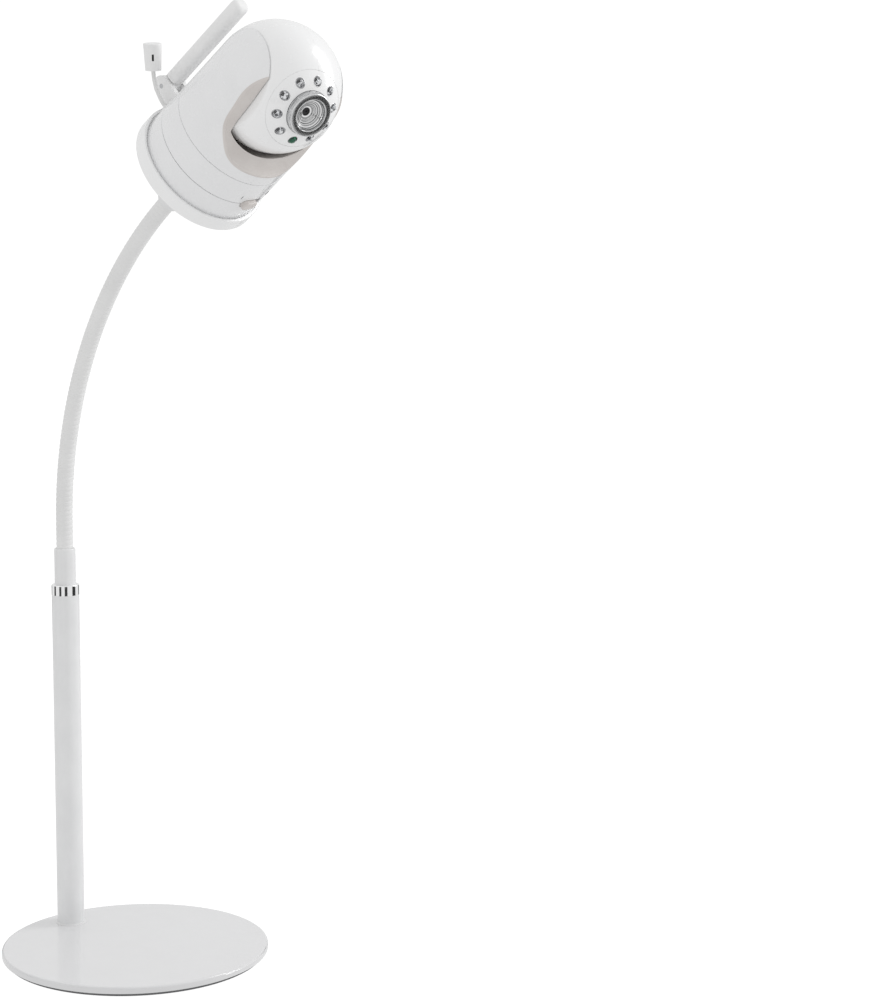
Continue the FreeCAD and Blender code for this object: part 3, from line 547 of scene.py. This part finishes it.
def make_lens_cone():
    """Bright stepped funnel that narrows to the lens."""
    outline = [(9.5, 38.6), (9.45, 39.15), (9.25, 39.3), (8.95, 39.3)]
    for r, z in CONE_STEPS:
        outline += [(r + out, z + up) for out, up in STEP_PROFILE]
    outline += [(2.5, 35.08), (2.38, 35.0), (2.36, 34.9), (2.98, 34.8), (2.98, CONE_SEAT),
                (3.42, CONE_SEAT), (3.42, 26.5), (8.75, 26.5), (8.75, 38.6)]
    bm = bmesh.new()
    lathe(bm, outline, CONE_TURNS)
    cone = add_mesh("lens_funnel", bm, SILVER_BAFFLE_PAINTED_RINGS, "head", ON_HEAD, sharp=CONE_SHARP)
    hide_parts("lens_cone")


# ---- lamps round the lens -------------------------------------------------------------------
LED_FOOT = 26.2
LED_SHOULDER = 33.0
LAMP_STEPS = 28
DOME_STEPS = 12
DISH = [(0.3, 31.2), (0.62, 31.2), (0.8, 31.3), (1.0, 31.6), (1.4, 32.2), (1.95, 32.75),
        (2.1, 32.8), (2.2, 32.7), (1.9, 32.2), (1.5, 30.8), (0.3, 30.8)]
CHIP = [(0.05, 31.25), (0.55, 31.25), (0.6, 31.32), (0.6, 31.75), (0.5, 31.9), (0.05, 31.95)]
BEZEL = [(2.50, -2.4), (2.50, 0.02), (2.56, 0.12), (2.66, 0.15), (2.76, 0.12), (2.9, 0.02),
         (2.9, -0.12), (2.73, -0.16), (2.73, -2.4)]    # radius, height over the face
BEZEL_STEPS = 48
FACE_SPHERE = HEAD_R - 0.05


def led_centre(i):
    """Place of a lamp on the face; the first is the lowest."""
    angle = math.radians(-90 + 360.0 * i / LED_COUNT)
    return LED_RING_R * math.cos(angle), LED_RING_R * math.sin(angle)


def lamp_outline():
    """Five-millimetre lamp: barrel and domed tip."""
    outline = [(0.02, LED_FOOT), (LED_R, LED_FOOT), (LED_R, LED_SHOULDER)]
    for i in range(1, DOME_STEPS):
        a = math.radians(90.0 * i / DOME_STEPS)
        outline.append((LED_R * math.cos(a), LED_SHOULDER + LED_R * math.sin(a)))
    outline.append((0.02, LED_SHOULDER + LED_R))
    return outline


def bezel(bm, x0, y0):
    """Bright lip round one lamp that follows the ball of the face."""
    rows = []
    for r, h in BEZEL:
        row = []
        for a in circle_angles(BEZEL_STEPS):
            x, y = x0 + r * math.cos(a), y0 + r * math.sin(a)
            row.append(bm.verts.new((x, y, math.sqrt(FACE_SPHERE ** 2 - x * x - y * y) + h)))
        rows.append(row)
    grid_faces(bm, rows, closed_ends=True)


def turned_lamps(name, places, outline, material):
    """The same turned piece at each of those places round the lens."""
    bm = bmesh.new()
    for i in places:
        before = len(bm.verts)
        lathe(bm, outline, LAMP_STEPS)
        fresh = list(bm.verts)[before:]
        bmesh.ops.translate(bm, vec=(*led_centre(i), 0), verts=fresh)
    made = add_mesh(name, bm, material, "head", ON_HEAD)
    return made


def make_lamps():
    """Nine infrared lamps and one green one, each with its dish, chip and lip."""
    infrared = range(1, LED_COUNT)
    domes = turned_lamps("infrared_lamps", infrared, lamp_outline(), CLEAR_LED)
    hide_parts("infrared_leds")
    status = turned_lamps("status_lamp", [0], lamp_outline(), GREEN_LED)
    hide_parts("status_led")
    turned_lamps("lamp_dishes", infrared, DISH, LED_SILVER_PAINTED_REFLECTIONS)
    turned_lamps("status_dish", [0], DISH, GREEN_FOIL_PAINTED_REFLECTIONS)
    turned_lamps("lamp_chips", range(LED_COUNT), CHIP, BLACK_PLASTIC)
    bm = bmesh.new()
    for i in range(LED_COUNT):
        bezel(bm, *led_centre(i))
    rims = add_mesh("lamp_bezels", bm, LED_RIM, "head", ON_HEAD)


make_lens_ring()
make_lens_cone()
make_lamps()


# ---- switch marks ---------------------------------------------------------------------------
MARK_TOP = BODY_R + 0.035
MARK_FOOT = BODY_R - 0.12
MARK_Z = MID_SEAM + 5.6
BAR_AT = -11.3           # mm round the housing from its middle
BAR_HEIGHT = 2.6
BAR_WIDTH = 0.32
BAR_STEPS = 10
LOOP_AT = 11.5
LOOP_RADII = (1.35, 1.45)
LOOP_WIDTH = 0.3
LOOP_STEPS = 40


def wrapped(bm, along, z, top):
    """Vertex on the front of the housing, 'along' mm round it from the middle."""
    r = MARK_TOP if top else MARK_FOOT
    angle = along / BODY_R
    return bm.verts.new((r * math.sin(angle), -r * math.cos(angle), z))


def mark_strip(bm, line, width, closed):
    """Flat raised line of even width along points (along, z)."""
    count = len(line)
    rows = []
    for i in range(count):
        back = line[(i - 1) % count] if closed or i else line[i]
        ahead = line[(i + 1) % count] if closed or i < count - 1 else line[i]
        dx, dz = ahead[0] - back[0], ahead[1] - back[1]
        size = math.hypot(dx, dz)
        nx, nz = -dz / size * width / 2, dx / size * width / 2
        a, z = line[i]
        rows.append([wrapped(bm, a - nx, z - nz, False), wrapped(bm, a - nx, z - nz, True),
                     wrapped(bm, a + nx, z + nz, True), wrapped(bm, a + nx, z + nz, False)])
    grid_faces(bm, rows, closed_ends=closed)
    if not closed:
        bm.faces.new(rows[0])
        bm.faces.new(list(reversed(rows[-1])))


def make_marks():
    """The plain bar and loop that mark the two ends of the switch."""
    bm = bmesh.new()
    foot = MARK_Z - BAR_HEIGHT / 2
    bar = [(BAR_AT, foot + BAR_HEIGHT * i / BAR_STEPS) for i in range(BAR_STEPS + 1)]
    mark_strip(bm, bar, BAR_WIDTH, False)
    wide, high = LOOP_RADII
    loop = [(LOOP_AT + wide * math.cos(angle), MARK_Z + high * math.sin(angle))
            for angle in circle_angles(LOOP_STEPS)]
    mark_strip(bm, loop, LOOP_WIDTH, True)
    marks = add_mesh("switch_marks", bm, MARK_GREY, "camera_base", ON_BASE)


make_marks()


# ---- floor and light ------------------------------------------------------------------------
FLOOR_HALF = 6000.0
CARD_RING_R = 1000.0     # the upright dark cards stand in a ring
CARDS = [(-176.7, 167.0), (-126.4, 215.0), (-52.0, 300.0), (18.0, 150.0), (72.0, 200.0),
         (132.0, 160.0)]     # direction in degrees, half width
CARD_FOOT = 20.0
CARD_TOP = 190.0
LENS_CARD = [(130.0, -900.0), (520.0, -1000.0), (640.0, -640.0), (260.0, -520.0)]
LENS_CARD_Z = 4.0        # this one lies flat in front, for the lens ring to mirror
WORLD_BELOW = 0.795      # strength of the soft light
WORLD_ABOVE = 0.80
BACKDROP = 1.05          # brightness that the camera sees instead


def make_floor():
    """White ground for the camera; it throws no light on the object."""
    bm = bmesh.new()
    bmesh.ops.create_grid(bm, x_segments=8, y_segments=8, size=FLOOR_HALF)
    made = Shader("floor", Roughness=0.9, Specular_IOR_Level=0.0,
                  Emission_Color=(1, 1, 1, 1), Emission_Strength=1.0)
    made.colours(made.noise(3.0), (0.10, 0.10, 0.10), (0.12, 0.12, 0.12))
    floor = add_mesh("floor", bm, made.material, None)
    floor.visible_diffuse = False
    floor.visible_glossy = False
    floor.visible_transmission = False


def make_cards():
    """Dark cards for the metal and the gloss to mirror; nothing else sees them."""
    bm = bmesh.new()
    for angle, half in CARDS:
        a = math.radians(angle)
        out = Vector((math.cos(a), math.sin(a), 0)) * CARD_RING_R
        side = Vector((-math.sin(a), math.cos(a), 0)) * half
        foot, top = Vector((0, 0, CARD_FOOT)), Vector((0, 0, CARD_TOP))
        corners = [out - side + foot, out + side + foot, out + side + top, out - side + top]
        bm.faces.new([bm.verts.new(point) for point in corners])
    bm.faces.new([bm.verts.new((x, y, LENS_CARD_Z)) for x, y in LENS_CARD])
    made = Shader("card", Roughness=1.0)
    made.colours(made.noise(5.0), (0.02, 0.02, 0.02), (0.04, 0.04, 0.04))
    cards = add_mesh("dark_cards", bm, made.material, None)
    cards.visible_camera = False
    cards.visible_diffuse = False
    cards.visible_shadow = False
    cards.visible_transmission = False


def area_light(name, place, aim, size, power):
    data = bpy.data.lights.new(name, "AREA")
    data.shape = "RECTANGLE"
    data.size, data.size_y = size
    data.energy = power
    lamp = bpy.data.objects.new(name, data)
    bpy.context.scene.collection.objects.link(lamp)
    lamp.location = place
    lamp.rotation_euler = (Vector(aim) - Vector(place)).to_track_quat("-Z", "Y").to_euler()


def make_world():
    """Soft light, a touch stronger from above, with a white backdrop for the camera."""
    world = bpy.data.worlds.new("studio")
    bpy.context.scene.world = world
    world.use_nodes = True
    tree = world.node_tree
    place = tree.nodes.new("ShaderNodeTexCoord")
    parts = tree.nodes.new("ShaderNodeSeparateXYZ")
    tree.links.new(place.outputs["Generated"], parts.inputs["Vector"])
    height = tree.nodes.new("ShaderNodeMapRange")
    height.inputs["From Min"].default_value = -1.0
    height.inputs["From Max"].default_value = 1.0
    height.inputs["To Min"].default_value = WORLD_BELOW
    height.inputs["To Max"].default_value = WORLD_ABOVE
    tree.links.new(parts.outputs["Z"], height.inputs["Value"])
    soft = tree.nodes["Background"]
    soft.inputs["Color"].default_value = (1, 1, 1, 1)
    tree.links.new(height.outputs["Result"], soft.inputs["Strength"])
    backdrop = tree.nodes.new("ShaderNodeBackground")
    backdrop.inputs["Color"].default_value = (1, 1, 1, 1)
    backdrop.inputs["Strength"].default_value = BACKDROP
    path = tree.nodes.new("ShaderNodeLightPath")
    mix = tree.nodes.new("ShaderNodeMixShader")
    tree.links.new(path.outputs["Is Camera Ray"], mix.inputs["Fac"])
    tree.links.new(soft.outputs["Background"], mix.inputs[1])
    tree.links.new(backdrop.outputs["Background"], mix.inputs[2])
    tree.links.new(mix.outputs["Shader"], tree.nodes["World Output"].inputs["Surface"])


make_floor()
make_cards()
area_light("key", place=(1.5, -0.95, 1.25), aim=(0, -0.12, 0.48), size=(0.7, 1.5), power=13.0)
area_light("fill", place=(-1.8, 0.3, 1.1), aim=(0, -0.05, 0.4), size=(1.0, 1.4), power=1.0)
make_world()
bpy.context.scene.view_settings.view_transform = "Standard"
